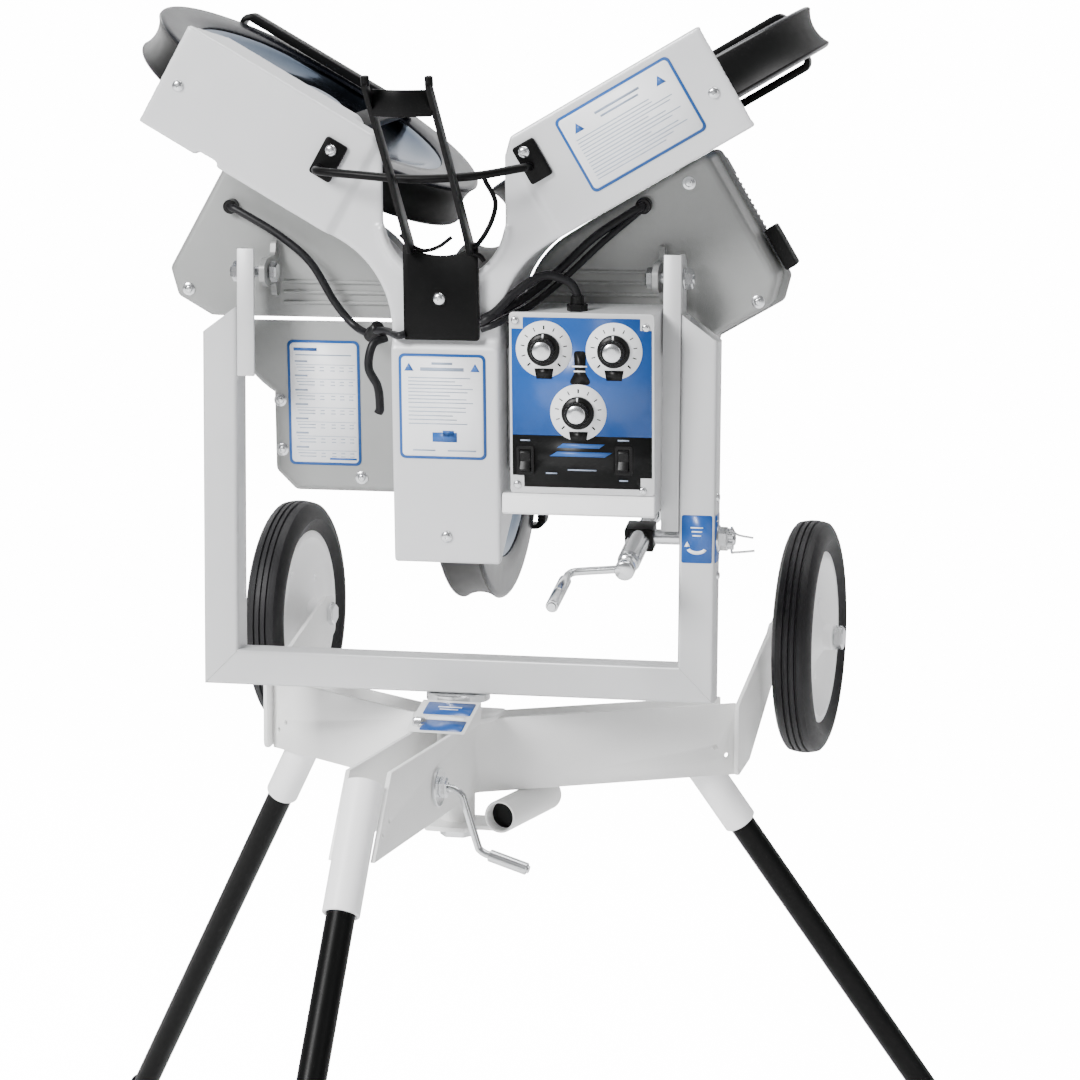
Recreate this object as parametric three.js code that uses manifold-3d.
// Three-wheel pitching machine on a tripod base. Millimetres, +Z up, +Y is the throwing direction.
// The origin is on the floor at the middle of the footprint; the swivel axis stands at (SWIVEL_X, SWIVEL_Y).
// The operator stands on the -Y side. All shapes are drawn about the swivel axis and then moved there.
import * as THREE from 'three';
import { mergeVertices } from 'three/addons/utils/BufferGeometryUtils.js';
import Module from 'manifold-3d';

const wasm = await Module();
wasm.setup();

// ---- driving dimensions -------------------------------------------------------------------
const TUBE = 38.1, TUBE_WALL = 2.6;            // yoke square tube
const YOKE_W = 552, YOKE_BOTTOM = 650;         // outer width, underside of the cross tube
const PIVOT_Z = 1092;                          // head tilt axis (along X at y = 0)
const TILT0 = 4.5;                             // degrees the head is pitched up at rest
const AXIS_UP = 45;                            // ball axis above the tilt axis, head frame
const FACE = -79;                              // rear face of the wheel housing, head frame
const ARM_L = 338, ARM_W = 114, SHELL = 5;     // housing arms
const NOTCH_R = 64, NOTCH_UP = 23;             // ball entry notch
const WHEEL_R = 195, WHEEL_C = 221, WHEEL_Y = 128, WHEEL_HW = 24;   // throwing wheels
const PAN_Y0 = 38, PAN_Y1 = 100, PAN_S0 = 100, PAN_S1 = 262, PAN_N1 = 228, PAN_LIP = 5, WEB_F = 105, SHEET = 3;
const MOTOR_R = 42, MOTOR_N0 = 66, MOTOR_N1 = 208;
const BOX = { x0: 68, x1: 217, y0: -72, y1: 18, z0: -284, z1: -75 };
const SWIVEL_X = -26.818, SWIVEL_Y = 102.555;   // swivel axis from the middle of the footprint
const BASE_TURN = -3.8;                        // base arms against the head, at rest
const PLATE_T = 4.8, BEAM_HALF = 19, PLATE_Z0 = 543, PLATE_Z1 = 622, REAR_ARM = 36.2, BEAM_L = 315, FRONT_TOP = 310, FRONT_LOW = 364;
const LEG_R = 14.3, SOCKET_R = 18.6;
const LEGS = { right: { s: 290, splay: 35.9, top: 606, low: 485 }, left: { s: 290, splay: 35.9, top: 606, low: 485 }, front: { s: 368, splay: 32.3, top: 612, low: 498 } };   // leg axis at beam underside
const TYRE_R = 133.5, TYRE_HW = 22.5, TRACK = 310.4, AXLE_Y = 372, AXLE_Z = 667.2, BRACKET_X = 269.1;
const JACK = { x: 195, z: 822, a: 13.325, reach: 195.3 };              // elevation screw, pivot on yoke

const R = Math.PI / 180, v3 = (x, y, z) => new THREE.Vector3(x, y, z);

// ---- solids -------------------------------------------------------------------------------
function clean(g) {
  const p = new THREE.BufferGeometry();
  p.setAttribute('position', g.getAttribute('position').clone());
  if (g.index) p.setIndex(g.index.clone());
  let m = mergeVertices(p, 1e-4);
  const a = m.getAttribute('position').array, src = m.index.array, out = [];
  let vol = 0;
  for (let i = 0; i < src.length; i += 3) {
    const [i0, i1, i2] = [src[i], src[i + 1], src[i + 2]];
    if (i0 === i1 || i1 === i2 || i0 === i2) continue;
    out.push(i0, i1, i2);
    const q = [i0, i1, i2].map(k => v3(a[3 * k], a[3 * k + 1], a[3 * k + 2]));
    vol += q[0].dot(q[1].clone().cross(q[2]));
  }
  if (vol < 0) for (let i = 0; i < out.length; i += 3) { const t = out[i]; out[i] = out[i + 1]; out[i + 1] = t; }
  m.setIndex(out);
  return m;
}
function solid(g) {
  const m = clean(g);
  return new wasm.Manifold(new wasm.Mesh({ numProp: 3,
    vertProperties: new Float32Array(m.getAttribute('position').array), triVerts: new Uint32Array(m.index.array) }));
}
function geometry(s) {
  const k = s.getMesh(), g = new THREE.BufferGeometry();
  g.setAttribute('position', new THREE.BufferAttribute(new Float32Array(k.vertProperties), 3));
  g.setIndex(new THREE.BufferAttribute(new Uint32Array(k.triVerts), 1));
  return g;
}
const box = (x0, x1, y0, y1, z0, z1) => solid(new THREE.BoxGeometry(x1 - x0, y1 - y0, z1 - z0).translate((x0 + x1) / 2, (y0 + y1) / 2, (z0 + z1) / 2));
function rod(a, b, r, n = 12, r2 = r) {                       // cylinder from a to b
  const d = b.clone().sub(a), g = new THREE.CylinderGeometry(r2, r, d.length(), n);
  g.translate(0, d.length() / 2, 0);
  g.applyQuaternion(new THREE.Quaternion().setFromUnitVectors(v3(0, 1, 0), d.clone().normalize()));
  return solid(g.translate(a.x, a.y, a.z));
}
function bar(points, r, n = 8, steps = 4) {                   // bent round bar
  const path = new THREE.CatmullRomCurve3(points, false, 'catmullrom', 0.3);
  const sh = new THREE.Shape(Array.from({ length: n }, (_, i) => new THREE.Vector2(r * Math.cos(2 * Math.PI * i / n), r * Math.sin(2 * Math.PI * i / n))));
  return solid(new THREE.ExtrudeGeometry(sh, { steps: steps * (points.length - 1), extrudePath: path, bevelEnabled: false }));
}
function prismY(pts, y0, y1) {                                // (x,z) outline swept along Y
  const sh = new THREE.Shape(pts.map(p => new THREE.Vector2(p[0], p[1])));
  return solid(new THREE.ExtrudeGeometry(sh, { depth: y1 - y0, bevelEnabled: false, curveSegments: 12 }).rotateX(Math.PI / 2).translate(0, y1, 0));
}
function prismX(pts, x0, x1) {                                // (y,z) outline swept along X
  const sh = new THREE.Shape(pts.map(p => new THREE.Vector2(p[0], p[1])));
  const g = new THREE.ExtrudeGeometry(sh, { depth: x1 - x0, bevelEnabled: false });
  g.applyMatrix4(new THREE.Matrix4().set(0, 0, 1, x0, 1, 0, 0, 0, 0, 1, 0, 0, 0, 0, 0, 1));
  return solid(g);
}
function prismZ(pts, z0, z1) {
  const sh = new THREE.Shape(pts.map(p => new THREE.Vector2(p[0], p[1])));
  return solid(new THREE.ExtrudeGeometry(sh, { depth: z1 - z0, bevelEnabled: false }).translate(0, 0, z0));
}
function turned(profile, n, at, axis) {                       // profile of (radius, height along axis)
  const g = new THREE.LatheGeometry(profile.map(p => new THREE.Vector2(p[0], p[1])), n);
  g.applyQuaternion(new THREE.Quaternion().setFromUnitVectors(v3(0, 1, 0), axis.clone().normalize()));
  return solid(g.translate(at.x, at.y, at.z));
}
const circle = (cx, cy, r, n, a0 = 0, a1 = 360) => Array.from({ length: n + (a1 - a0 < 360 ? 1 : 0) }, (_, i) => {
  const a = (a0 + (a1 - a0) * i / n) * R; return [cx + r * Math.cos(a), cy + r * Math.sin(a)]; });
const uni = l => l.reduce((a, b) => a.add(b));

// ---- placing ------------------------------------------------------------------------------
const root = new THREE.Group();
const baseM = new THREE.Matrix4().makeRotationZ(BASE_TURN * R);
const headM = new THREE.Matrix4().makeTranslation(0, 0, PIVOT_Z)
  .multiply(new THREE.Matrix4().makeRotationX(TILT0 * R)).multiply(new THREE.Matrix4().makeTranslation(0, 0, AXIS_UP));
function put(name, s, look, m) {
  let g = geometry(s);
  if (m) g.applyMatrix4(m);
  g.translate(SWIVEL_X, SWIVEL_Y, 0);
  g = mergeVertices(g, 1e-4);
  g.computeVertexNormals();
  const [colour, rough, metal] = look;
  const mesh = new THREE.Mesh(g, new THREE.MeshStandardMaterial({ color: colour, roughness: rough, metalness: metal, flatShading: true }));
  mesh.name = name;
  root.add(mesh);
}
const SILVER = [0xc9ccd0, 0.45, 0.3], PANGREY = [0xb4b8ba, 0.55, 0.3], BLACK = [0x17181a, 0.5, 0.1], RUBBER = [0x1b1c1e, 0.8, 0.0],
  TREAD = [0x2a2c30, 0.6, 0.0], CHROME = [0xd8dade, 0.2, 0.9], BLUE = [0x2456a8, 0.5, 0.0], WHITE = [0xe8eaec, 0.45, 0.1];

// ---- base: three bent plates, hub, sockets, legs -------------------------------------------
const dir = a => [Math.cos(a * R), Math.sin(a * R)];
const onArm = (a, s, n) => { const [c, d] = dir(a); return [c * s - d * n, d * s + c * n]; };
const ARMS = { right: REAR_ARM, left: 180 - REAR_ARM, front: 270 };
function bentPlate(a, b) {                                    // between arm a and the next arm b
  const i = BEAM_HALF, o = BEAM_HALF + PLATE_T, h = (b - a) / 2, k = q => { const m = dir(a + h); return [m[0] * q / Math.sin(h * R), m[1] * q / Math.sin(h * R)]; };
  const l = q => (q === 270 ? FRONT_LOW : BEAM_L);
  return prismZ([onArm(a, l(a), i), k(i), onArm(b, l(b), -i), onArm(b, l(b), -o), k(o), onArm(a, l(a), o)], PLATE_Z0, PLATE_Z1);
}
const slant = (FRONT_LOW - FRONT_TOP) / (PLATE_Z1 - PLATE_Z0);
const frontCut = prismX([[-FRONT_LOW - slant, PLATE_Z0 - 1], [-FRONT_TOP + slant, PLATE_Z1 + 1], [-500, PLATE_Z1 + 1], [-500, PLATE_Z0 - 1]], -60, 60);   // front arm ends along its leg
put('beam_plate_rear', bentPlate(ARMS.right, ARMS.left), SILVER, baseM);
put('beam_plate_left', bentPlate(ARMS.left, 270).subtract(frontCut), SILVER, baseM);
put('beam_plate_right', bentPlate(270, ARMS.right + 360).subtract(frontCut), SILVER, baseM);

const UP = v3(0, 0, 1);
let hub = rod(v3(0, 0, 510), v3(0, 0, 640.4), 18.4, 24)
  .add(prismZ([[-38, -44], [34, -44], [44, -20], [44, 34], [-44, 34], [-44, -20]], PLATE_Z1 + 0.4, PLATE_Z1 + 5.4))
  .add(prismZ([[-22, -46], [22, -46], [30, -30], [30, 26], [-30, 26], [-30, -30]], 506, 511));
// sloped hood over the front arm, with its two cheeks and a bolt
hub = hub.add(prismX([[-102, PLATE_Z1 + 0.5], [-36.5, 645.5], [-36.5, 641.3], [-90, PLATE_Z1 + 0.5]], -28, 36));
for (const x of [-28, 32]) hub = hub.add(prismX([[-96, PLATE_Z1 + 0.5], [-36.5, 643], [-36.5, PLATE_Z1 + 0.5]], x, x + 4));
hub = hub.add(rod(v3(-18, -84, PLATE_Z1 + 3), v3(-18, -84, PLATE_Z1 + 13), 6.5, 6));
hub = hub.subtract(rod(v3(0, 0, 500), v3(0, 0, 660), 14.5, 16));
hub = hub.add(box(20, 50, -26, 26, 506, 512)).add(rod(v3(58, -42, 525), v3(74, 92, 525), 17.5, 16)).subtract(rod(v3(57.4, -47, 525), v3(74.6, 97, 525), 14.5, 16));   // handle socket
put('hub_bearing', hub, SILVER, baseM);

for (const [name, a] of Object.entries(ARMS)) {
  const [c, s] = dir(a), L = LEGS[name], t = Math.tan(L.splay * R), along = z => L.s + (PLATE_Z0 - z) * t;
  const at = (z, off = 0) => v3(c * along(z) - s * off, s * along(z) + c * off, z);
  const d = at(0).sub(at(500)).normalize();
  let sock = rod(at(L.top), at(L.low), SOCKET_R, 16).subtract(rod(at(640), at(470), LEG_R + 0.35, 16));
  put('leg_socket_' + name, sock, WHITE, baseM);
  const low = at(0), legTop = at(560);
  const leg = rod(legTop, at(26), LEG_R, 16).subtract(rod(at(570), at(40), LEG_R - 2, 16));
  put('leg_' + name, leg, BLACK, baseM);
  let foot = rod(at(70), at(-30), LEG_R + 3.4, 16).subtract(rod(at(90), at(25.5), LEG_R + 0.45, 16));
  foot = foot.subtract(box(-900, 900, -900, 900, -80, 0));
  put('foot_' + name, foot, RUBBER, baseM);
}

// transport wheels
for (const sgn of [1, -1]) {
  const side = sgn > 0 ? 'right' : 'left', X = x => sgn * x;
  const px = (pts, a, b) => sgn > 0 ? prismX(pts, a, b) : prismX(pts, -b, -a);
  let br = px([[150, PLATE_Z0], [215, PLATE_Z0 + 8], [AXLE_Y + 20, AXLE_Z - 24], [AXLE_Y + 24, AXLE_Z], [AXLE_Y + 14, AXLE_Z + 20], [AXLE_Y - 12, AXLE_Z + 22], [150, PLATE_Z1]], BRACKET_X, BRACKET_X + 5);
  br = br.add(rod(v3(X(BRACKET_X + 3), AXLE_Y, AXLE_Z), v3(X(TRACK + 35), AXLE_Y, AXLE_Z), 9, 16))
    .add(rod(v3(X(BRACKET_X + 3), AXLE_Y, AXLE_Z), v3(X(TRACK - 28.5), AXLE_Y, AXLE_Z), 15, 16))
    .add(rod(v3(X(TRACK + 29.5), AXLE_Y, AXLE_Z), v3(X(TRACK + 40), AXLE_Y, AXLE_Z), 14, 6));
  put('wheel_bracket_' + side, br, SILVER, baseM);
  const C = v3(X(TRACK), AXLE_Y, AXLE_Z), ax = v3(sgn, 0, 0), T = TYRE_HW;
  put('tyre_' + side, turned([[98, -15], [112, -T], [126, -T + 2], [TYRE_R, -8], [TYRE_R, 8], [126, T - 2], [112, T], [98, 15], [98, -15]], 28, C, ax), RUBBER, baseM);
  put('rim_' + side, turned([[9.7, -28], [24, -28], [24, -8], [85, -4], [91, -15], [97.4, -15], [97.4, 15], [91, 15], [85, 2], [24, 8], [24, 28], [9.7, 28], [9.7, -28]], 28, C, ax), WHITE, baseM);
}

// swivel lock: washer on the front beam, bent crank with a sleeve
const LK = v3(24.2, -158.5, 578), K = (x, z) => v3(LK.x + x, LK.y, LK.z + z), SLOPE = -14 / 47;   // handle end dips
put('lock_washer', rod(K(0, 0), K(4, 0), 20, 20).subtract(rod(K(-1, 0), K(5, 0), 6.4, 16)), CHROME, baseM);
put('lock_crank', rod(K(0.6, 0), K(12, 0), 6, 16).add(rod(K(4.6, 0), K(12, 0), 11, 6))
  .add(bar([K(10, 0), K(22, -3), K(28, -10), K(44, -60), K(51, -66), K(98, -66 + 47 * SLOPE)], 4, 8)), CHROME, baseM);
put('lock_sleeve', rod(K(56, -66 + 5 * SLOPE), K(96, -66 + 45 * SLOPE), 6.5, 16).subtract(rod(K(46, -66 - 5 * SLOPE), K(106, -66 + 55 * SLOPE), 4.5, 16)), CHROME, baseM);

// ---- yoke ----------------------------------------------------------------------------------
const hw = YOKE_W / 2, iw = hw - TUBE, TOP_IN = PIVOT_Z - 36, TOP_OUT = PIVOT_Z - 64, w = TUBE_WALL;
const uPts = (o, lift, up) => { const a = hw - o, b = iw + o, z0 = YOKE_BOTTOM + o, z1 = YOKE_BOTTOM + TUBE - o;
  return [[-a, z0], [a, z0], [a, TOP_OUT + up], [b, TOP_IN + up], [b, z1], [-b, z1], [-b, TOP_IN + up], [-a, TOP_OUT + up]]; };
const yoke = prismY(uPts(0, 0, 0), -TUBE / 2, TUBE / 2).subtract(prismY(uPts(w, 0, 30), -TUBE / 2 + w, TUBE / 2 - w));
put('yoke_frame', yoke, SILVER);
put('swivel_post', rod(v3(0, 0, 500), v3(0, 0, 649.6), 14.1, 16).add(rod(v3(0, 0, 641), v3(0, 0, 649.6), 34, 32)).add(rod(v3(0, 0, 494), v3(0, 0, 505), 20, 6)), CHROME);
for (const sgn of [1, -1]) {
  const side = sgn > 0 ? 'right' : 'left', low = sgn > 0 ? PIVOT_Z - 262 : PIVOT_Z - 110;
  const bx = (a, b, ...r) => sgn > 0 ? box(a, b, ...r) : box(-b, -a, ...r);
  let ear = bx(iw - 4.6, iw - 0.3, -TUBE / 2, TUBE / 2, low, PIVOT_Z + 25).add(bx(iw - 19, iw - 0.3, -TUBE / 2, -TUBE / 2 + 4.3, sgn > 0 ? PIVOT_Z - 262 : low, PIVOT_Z + 25));
  ear = ear.subtract(rod(v3(sgn * 200, 0, PIVOT_Z), v3(sgn * 260, 0, PIVOT_Z), 6.4, 16));
  put('ear_' + side, ear, SILVER);
  put('pivot_bolt_' + side, rod(v3(sgn * 203, 0, PIVOT_Z), v3(sgn * 249, 0, PIVOT_Z), 6, 16).add(rod(v3(sgn * 198, 0, PIVOT_Z), v3(sgn * 204.6, 0, PIVOT_Z), 11, 6)).add(rod(v3(sgn * (iw + 0.4), 0, PIVOT_Z), v3(sgn * (iw + 10), 0, PIVOT_Z), 11, 6)), CHROME);
}
put('elevation_stud', rod(v3(hw + 0.4, 0, JACK.z), v3(hw + 3, 0, JACK.z), 15, 16).add(rod(v3(hw + 2, 0, JACK.z), v3(hw + 14, 0, JACK.z), 12, 6)).add(rod(v3(hw + 12, 0, JACK.z), v3(hw + 20, 0, JACK.z), 8, 16)).add(rod(v3(hw + 18, 0, JACK.z), v3(hw + 40, 0, JACK.z), 2.5, 10)), CHROME);

// ---- elevation screw -----------------------------------------------------------------------
const ja = JACK.a * R, jd = v3(0, Math.cos(ja), Math.sin(ja)), J = (l, p = 0, x = 0) => v3(JACK.x + x, jd.y * l - jd.z * p, JACK.z + jd.z * l + jd.y * p);
const jbox = (x0, x1, l0, l1, p0, p1) => solid(new THREE.BoxGeometry(x1 - x0, l1 - l0, p1 - p0).translate((x0 + x1) / 2, (l0 + l1) / 2, (p0 + p1) / 2).rotateX(ja).translate(JACK.x, 0, JACK.z));
put('jack_block', jbox(-15, 15, -14, 14, -12.5, 12.5).add(rod(J(-76), J(0), 12, 16)).add(rod(v3(JACK.x + 10, 0, JACK.z), v3(iw - 5, 0, JACK.z), 8, 16))
  .subtract(rod(J(-90), J(30), 8, 16)), BLACK);
put('jack_screw', rod(J(-92), J(134), 7.6, 16).add(rod(J(-104), J(-80), 10.5, 16))
  .add(bar([J(-96), J(-98, -4, -52), J(-106, -5, -58), J(-196, -5, -58)], 4.2, 8)), CHROME);
put('jack_sleeve', rod(J(-122, -5, -58), J(-194, -5, -58), 6.6, 16).subtract(rod(J(-110, -5, -58), J(-200, -5, -58), 4.6, 16)), CHROME);
put('jack_nut_tube', rod(J(67), J(190), 12, 16).add(rod(J(JACK.reach, 0, -12), J(JACK.reach, 0, 12), 16, 16)).subtract(rod(J(60), J(183.5), 8, 16))
  .subtract(rod(J(JACK.reach, 0, -20), J(JACK.reach, 0, 16), 9, 16)), SILVER);

// ---- head: wheel housing -------------------------------------------------------------------
const HARMS = { ur: 30, ul: 150, low: 270 };
const hArm = (a, s, n) => { const [c, d] = dir(a); return [c * s - d * n, d * s + c * n]; };
function armBox(a, L, W, y0, y1, s0 = -20) { return prismY([hArm(a, s0, -W / 2), hArm(a, L, -W / 2), hArm(a, L, W / 2), hArm(a, s0, W / 2)], y0, y1); }
const WALL_Y = 50;
function webs(inset, y0, y1) {                                // centre disc and concave webs between the arms
  const n = ARM_W / 2 - inset, pts = [];
  for (const a of [30, 150, 270]) {
    const f = WEB_F, k = (n + f) / Math.sin(60 * R), [mx, mz] = dir(a + 60), cx = mx * k, cz = mz * k;
    pts.push(hArm(a, 150, -n)); pts.push(hArm(a, 150, n));
    for (const p of circle(cx, cz, f, 5, a + 60 + 180 + 30, a + 60 + 180 - 30 + 0.001).slice(0)) pts.push(p);
  }
  return prismY(pts, y0, y1);
}
let outer = uni([...Object.values(HARMS).map(a => armBox(a, ARM_L, ARM_W, FACE, WALL_Y)), webs(0, FACE + 6, WALL_Y)]);
let inner = uni([...Object.values(HARMS).map(a => armBox(a, ARM_L + 30, ARM_W - 2 * SHELL, FACE + SHELL, WALL_Y + 20)), webs(SHELL, FACE + 6 + SHELL, WALL_Y + 20)]);
let shroud = outer.subtract(inner);
// raised pads stop at s = 105: the neck face sits 6 mm lower
shroud = shroud.subtract(prismY([hArm(30, 105, -80), hArm(30, 105, 80), hArm(150, 105, -80), hArm(150, 105, 80), hArm(270, 105, -80), hArm(270, 105, 80)], FACE - 5, FACE + 6))
  .add(webs(0, FACE + 6, FACE + 11).intersect(prismY(circle(0, 0, 118, 16), FACE, FACE + 20)));
// ball entry notch, open at the top, with a rounded bottom
shroud = shroud.subtract(prismY([...circle(0, NOTCH_UP, NOTCH_R, 20, 180, 360), [NOTCH_R, 240], [-NOTCH_R, 240]], FACE - 20, FACE + 30));
shroud = shroud.subtract(prismY([[-NOTCH_R, 60], [NOTCH_R, 60], [NOTCH_R + 60, 170], [NOTCH_R, 260], [-NOTCH_R, 260], [-NOTCH_R - 60, 170]], FACE + 30, WALL_Y + 30));
// upper walls are shallow; arm ends slope away from the face
shroud = shroud.subtract(prismY([hArm(30, 30, 40), hArm(30, 380, 40), hArm(30, 380, 90), [0, 420], hArm(150, 380, -90), hArm(150, 380, -40), hArm(150, 30, -40)], FACE + 54, WALL_Y + 30));
for (const a of [30, 150, 270]) {
  const [c, d] = dir(a);
  const cut = box(0, 200, 0, 300, -100, 100).rotate([0, 0, 33]).translate([ARM_L - 2, FACE + 8, 0]);
  shroud = shroud.subtract(cut.rotate([0, -a, 0]));
}
const lip = prismY([...circle(0, NOTCH_UP, NOTCH_R + 7, 24, 190, 350), ...circle(0, NOTCH_UP, NOTCH_R, 24, 190, 350).reverse()], FACE + 1, FACE + 7);
put('wheel_housing', shroud.add(lip), SILVER, headM);

// motor covers: open pans with a flange, one per wheel
function pan(a, sgn, clip, lug, s1 = PAN_S1, n1 = PAN_N1) {
  const P = (s, n) => hArm(a, s, sgn * n), ord = l => sgn > 0 ? l : l.reverse();
  const out = (s0, s1, n0, n1, c) => ord([P(s0, n0), P(s1, n0), P(s1, n1 - c), P(s1 - c, n1), P(s0 + c, n1), P(s0, n1 - c)]);
  const k = (ARM_W / 2 + WEB_F) / Math.sin(60 * R), w = [Math.sign(clip[0][0] + clip[2][0]) * k * Math.cos(30 * R), -k / 2];
  const fill = (r, y0, y1) => prismY(circle(w[0], w[1], r, 24), y0, y1);            // follows the housing web
  let p = prismY(out(PAN_S0, s1, 58, n1, 22), PAN_Y0, PAN_Y1)
    .add(prismY(out(PAN_S0, s1 + PAN_LIP, 58, n1 + PAN_LIP, 20), PAN_Y1 - SHEET, PAN_Y1))
    .add(fill(WEB_F - 1.5, PAN_Y0, PAN_Y1))
    .subtract(prismY(out(PAN_S0 + SHEET, s1 - SHEET, 58 + SHEET, n1 - SHEET, 22), PAN_Y0 + SHEET, PAN_Y1 + 10))
    .subtract(fill(WEB_F - 1.5 - SHEET, PAN_Y0 + SHEET, PAN_Y1 + 10));
  p = p.intersect(prismY(clip, 0, 300));
  // shaft opening in the inner wall
  const c = P(WHEEL_C, 40), e = P(WHEEL_C, 75);
  p = p.subtract(rod(v3(c[0], WHEEL_Y, c[1]), v3(e[0], WHEEL_Y, e[1]), 20, 16));
  if (lug) {
    const x0 = lug > 0 ? 207 : -213;
    let l = box(x0, x0 + 6, -15, PAN_Y0 + 1, -AXIS_UP - 15, -AXIS_UP + 15).add(rod(v3(x0, -5, -AXIS_UP), v3(x0 + 6, -5, -AXIS_UP), 15, 16));
    l = l.add(box(x0, x0 + 6, PAN_Y0 - 10, PAN_Y0 + 1, -AXIS_UP - 30, -AXIS_UP + 30));
    p = p.add(l).subtract(rod(v3(x0 - 5, 0, -AXIS_UP), v3(x0 + 11, 0, -AXIS_UP), 6.4, 16));
  }
  return p;
}
put('motor_cover_left', pan(150, 1, [[-500, -98], [-58.5, -98], [-58.5, 300], [-500, 300]], -1), PANGREY, headM);
put('motor_cover_right', pan(30, -1, [[58.5, -128], [500, -128], [500, 300], [58.5, 300]], 1), PANGREY, headM);
put('motor_cover_low', pan(270, -1, [[-400, -500], [-58.5, -500], [-58.5, -102], [-400, -102]], 0, 288, 217), PANGREY, headM);

// motors, throwing wheels and guards
for (const [name, a, sgn] of [['left', 150, 1], ['right', 30, -1], ['low', 270, -1]]) {
  const [c, d] = dir(a), ax = v3(-d * sgn, 0, c * sgn), C = v3(c * WHEEL_C, WHEEL_Y, d * WHEEL_C);
  put('motor_' + name, turned([[0, MOTOR_N0], [MOTOR_R - 5, MOTOR_N0], [MOTOR_R, MOTOR_N0 + 6], [MOTOR_R, MOTOR_N1 - 8], [16, MOTOR_N1 - 4], [16, MOTOR_N1], [0, MOTOR_N1]], 18, C, ax), BLACK, headM);
  const tread = [-13, -4.5, 4.5, 13].map(n => [WHEEL_R - 6.5 + 37 - Math.sqrt(37 * 37 - n * n), n]);
  put('wheel_tyre_' + name, turned([[150, -WHEEL_HW + 1], [189, -WHEEL_HW], [WHEEL_R - 0.4, -20], ...tread, [WHEEL_R - 0.4, 20], [189, WHEEL_HW], [150, WHEEL_HW - 1], [150, -WHEEL_HW + 1]], 30, C, ax), TREAD, headM);
  put('wheel_hub_' + name, turned([[0, -24], [27, -24], [27, -8], [138, -12], [138, -20], [148.8, -20], [148.8, 20], [138, 20], [138, -6], [27, 8], [27, 24], [9, 24], [9, MOTOR_N0 - 1], [0, MOTOR_N0 - 1]], 24, C, ax), CHROME, headM);
  // guard: flat bar bent round the throwing side of the wheel
  const gs = WHEEL_C + 110, gy = 268, H = 26.5, T = 9, B = 5;  // legs run from the housing side walls
  const P = (s, n) => hArm(a, s, n);
  let g = prismY([P(150, -H - T), P(gs + 40, -H - T), P(gs + 40, H + T), P(150, H + T), P(150, H), P(gs + 40 - B, H), P(gs + 40 - B, -H), P(150, -H)], gy, gy + 22);
  g = g.add(prismY([P(150, H), P(172, H), P(172, H + T), P(150, H + T)], WALL_Y + 2, gy + 1)).add(prismY([P(150, -H - T), P(172, -H - T), P(172, -H), P(150, -H)], WALL_Y + 2, gy + 1));
  put('wheel_guard_' + name, g, BLACK, headM);
}

// feed chute: bracket plate hollowed to the ball, two rising rails, bowed cross plate
{
  const y = FACE - 0.4;
  let ch = prismY([[-41, -102], [38, -102], [38, -3], ...circle(-2, 48, 63, 8, 306, 234), [-41, -3]], y - 5, y).add(rod(v3(-3, y - 10, -59), v3(-3, y - 4, -59), 8, 6));
  for (const sg of [-1, 1]) {
    const x0 = sg > 0 ? 29 : -34;
    ch = ch.add(prismX([[y - 3, -12], [y - 3, -2], [y - 86, 80], [y - 184, 176], [y - 192, 170], [y - 94, 72], [y - 16, -12]].reverse(), x0, x0 + 5));
  }
  const bow = Array.from({ length: 7 }, (_, i) => [-29.5 + 59 * i / 6, y - 168 - 9 * Math.sin(Math.PI * i / 6)]);
  ch = ch.add(prismZ([...bow, ...bow.map(q => [q[0], q[1] + 3]).reverse()], 140, 166));
  put('feed_chute', ch, BLACK, headM);
}
// guard bar across the notch, on two bracket plates
{
  const y = FACE - 0.4, plate = (a, s, n) => { const p = (u, t) => hArm(a, s + u, n + t); return prismY([p(-12.5, -21), p(12.5, -21), p(12.5, 21), p(-12.5, 21)], y - 4, y); };
  let g = plate(150, 143.5, -12).add(plate(30, 123.5, 24));
  const L = hArm(150, 148, 1), Q = hArm(30, 119, 20);
  g = g.add(bar([v3(L[0], y - 2, L[1]), v3(L[0] + 5, y - 22, L[1] - 1), v3(-80, y - 36, 70), v3(-20, y - 42, 67), v3(40, y - 38, 70), v3(Q[0] - 8, y - 22, Q[1]), v3(Q[0], y - 2, Q[1])], 4.5, 8));
  for (const q of [hArm(150, 145, -22), hArm(30, 121, 36)]) g = g.add(rod(v3(q[0], y - 9, q[1]), v3(q[0], y - 3, q[1]), 6.5, 6));
  put('notch_guard_bar', g, BLACK, headM);
}

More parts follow.
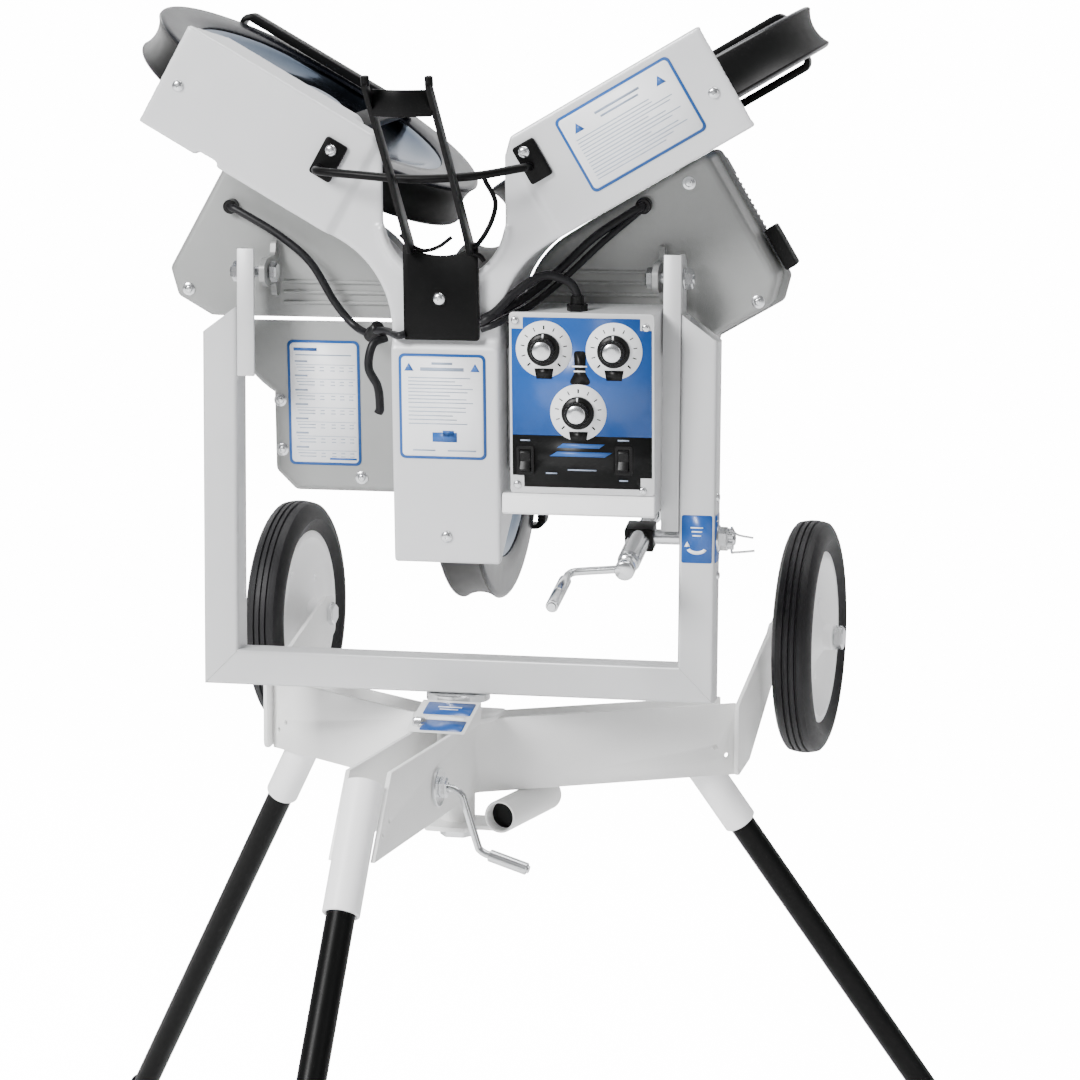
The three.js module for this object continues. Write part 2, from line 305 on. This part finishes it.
// control box, panel, knobs, switches
{
  const b = BOX;
  let c = box(b.x0, b.x1, b.y0 + 4.4, b.y1, b.z0, b.z1).subtract(box(b.x0 + 3, b.x1 - 3, b.y0, b.y1 - 3, b.z0 + 3, b.z1 - 3));
  c = c.add(box(58, b.x0 + 1, -40, 0, b.z0 + 40, b.z1 - 40)).add(box(58.6, b.x1 + 1, b.y0 - 4, b.y0 + 5, b.z0, -262));   // lug and lower lip
  put('control_box', c, SILVER, headM);
  let panel = box(b.x0 - 1, b.x1 + 1, b.y0, b.y0 + 4, -261.5, b.z1 + 2);
  const KN = [[103.5, -110.8], [176.5, -111.5], [139, -176]], SW = [[83, -227], [186, -225]];
  for (const [x, z] of KN) panel = panel.subtract(rod(v3(x, b.y0 - 5, z), v3(x, b.y0 + 9, z), 5, 16));
  for (const [x, z] of SW) panel = panel.subtract(box(x - 6, x + 6, b.y0 - 5, b.y0 + 9, z - 12, z + 12));
  put('control_panel', panel, BLUE, headM);
  KN.forEach(([x, z], i) => put('dial_' + (i + 1), turned([[0, 12], [4.6, 12], [4.6, -1.5], [17, -1.5], [16, -6], [12, -7], [11.5, -14.5], [10, -16], [0, -16]].map(p => [p[0], p[1]]), 14, v3(x, b.y0, z), v3(0, 1, 0))
    .add(box(x - 1.4, x + 1.4, b.y0 - 8, b.y0 - 5, z + 8, z + 16)), BLACK, headM));
  SW.forEach(([x, z], i) => put(i ? 'rocker_switch' : 'reset_switch', prismX([[b.y0 + 8, z - 9], [b.y0 + 8, z + 9], [b.y0 - 2, z + 10.5], [b.y0 - 3.5, z + 8], [b.y0 - 1.5, z], [b.y0 - 1.5, z - 2], [b.y0 - 6, z - 9], [b.y0 - 5, z - 10.8]], x - 5.4, x + 5.4), BLACK, headM));
}
// clevis arm from the back of the control box to the elevation screw
{
  const hy = 171.8, hz = -284.2, x = JACK.x, side = (a, b) => prismX([[BOX.y1 + 0.4, -200], [BOX.y1 + 0.4, -262], [110, -280], [hy - 8, hz - 13], [hy + 10, hz - 10], [hy + 13, hz + 3], [hy + 4, hz + 13], [hy - 14, hz + 12], [100, -240], [60, -206]], a, b);
  put('elevation_arm', side(x - 18.5, x - 13.5).add(side(x + 13.5, x + 18.5)).add(box(x - 18.5, x + 18.5, BOX.y1 + 0.4, BOX.y1 + 6, -260, -200)).add(rod(v3(x - 22, hy, hz), v3(x + 22, hy, hz), 5.5, 16)), SILVER, headM);
}
// rubber buffer on the right cover edge
{
  const P = (s, n) => hArm(30, s, -n);
  put('rubber_buffer', prismY([P(PAN_S1 + PAN_LIP + 0.4, 158), P(PAN_S1 + PAN_LIP + 0.4, 206), P(PAN_S1 + PAN_LIP + 14, 206), P(PAN_S1 + PAN_LIP + 14, 158)].reverse(), PAN_Y1 - 26, PAN_Y1), RUBBER, headM);
}
export default root;
